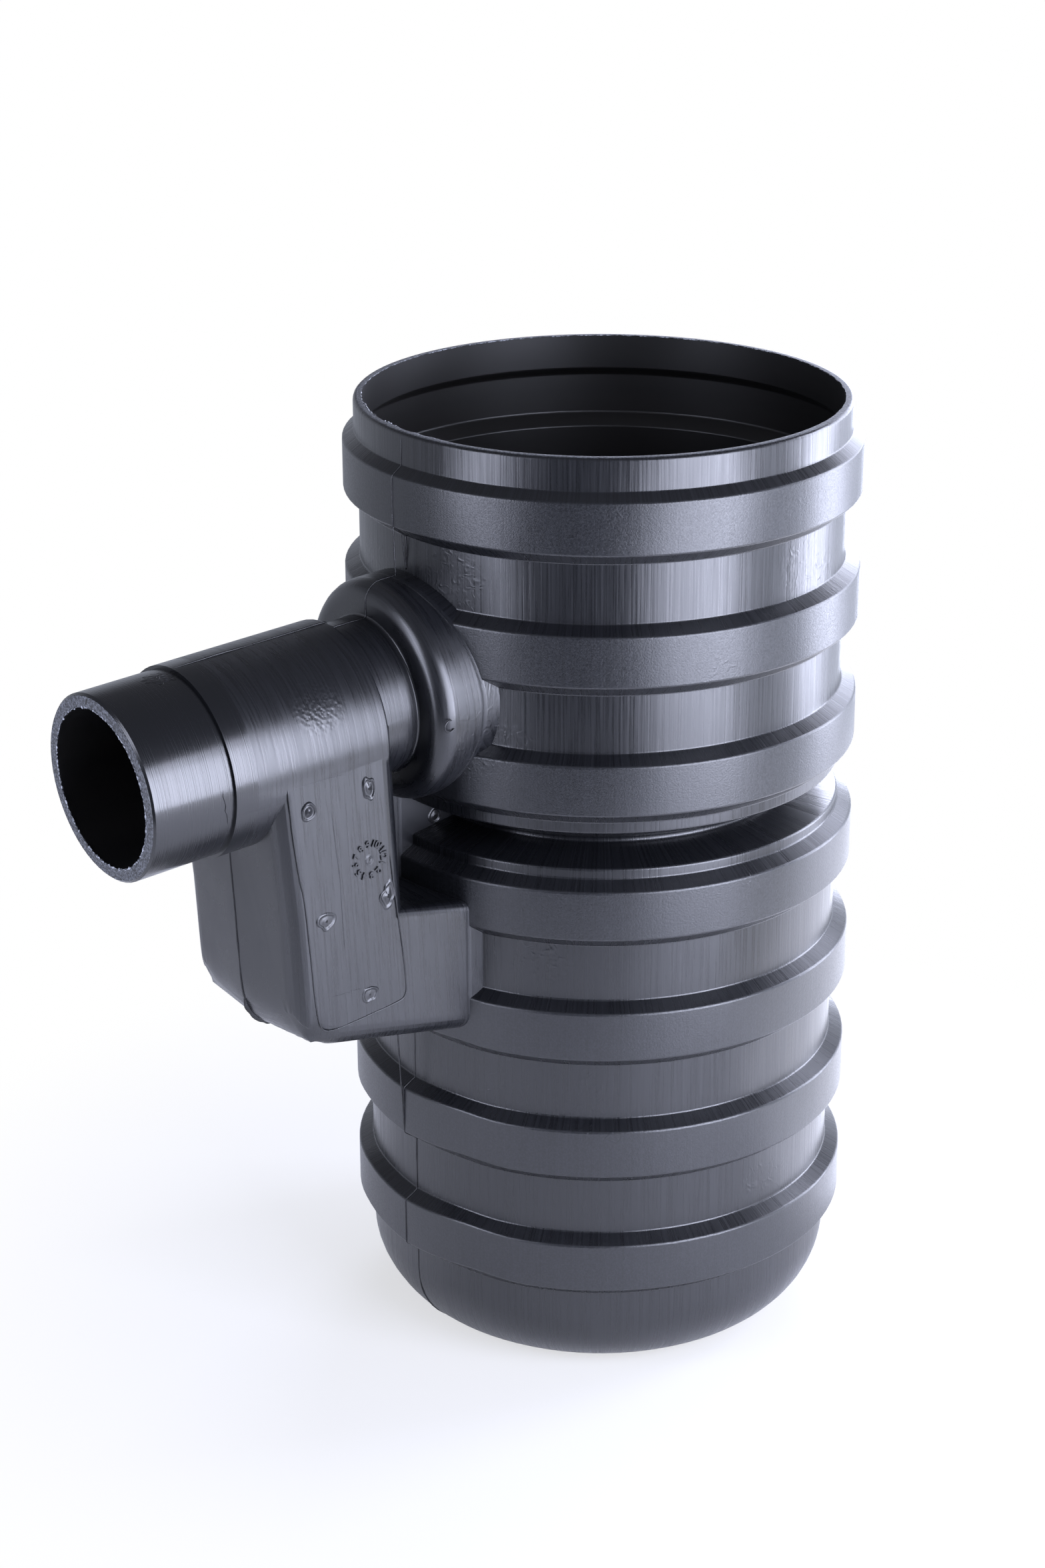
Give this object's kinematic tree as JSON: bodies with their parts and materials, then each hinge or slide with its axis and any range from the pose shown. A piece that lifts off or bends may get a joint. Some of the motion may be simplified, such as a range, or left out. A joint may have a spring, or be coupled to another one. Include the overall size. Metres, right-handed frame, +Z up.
{
  "type": "gully trap",
  "caption": "Trapped road gully pot: ribbed upright pot with rounded base, side boss, square trap leg and a round spigot, with a rodding stopper inside.",
  "frame": {"origin": "on the pot's upright axis, on the plane of its flat base", "axes": "+Z up the pot's axis towards the open rim; the outlet points along -X, falling 3 degrees; the parting plane is y = 0"},
  "size_m": [0.52, 0.315, 0.6],
  "materials": {
    "pot_plastic": "blow-moulded black polyethylene, satin, with fine upright die lines; spigot turned smooth",
    "stopper_plastic": "injection-moulded dark grey polypropylene, fine matt grain",
    "seal_rubber": "black moulded rubber, dull"
  },
  "bodies": {
    "pot": {"gully_pot": "pot_plastic"},
    "stopper": {"rodding_stopper": "stopper_plastic", "stopper_seal": "seal_rubber"}
  },
  "joints": [
    {"name": "stopper_pull", "type": "slide", "parent": "pot", "child": "stopper", "axis": [0.9986, 0, 0.0523], "range_m": [0, 0.09]}
  ]
}
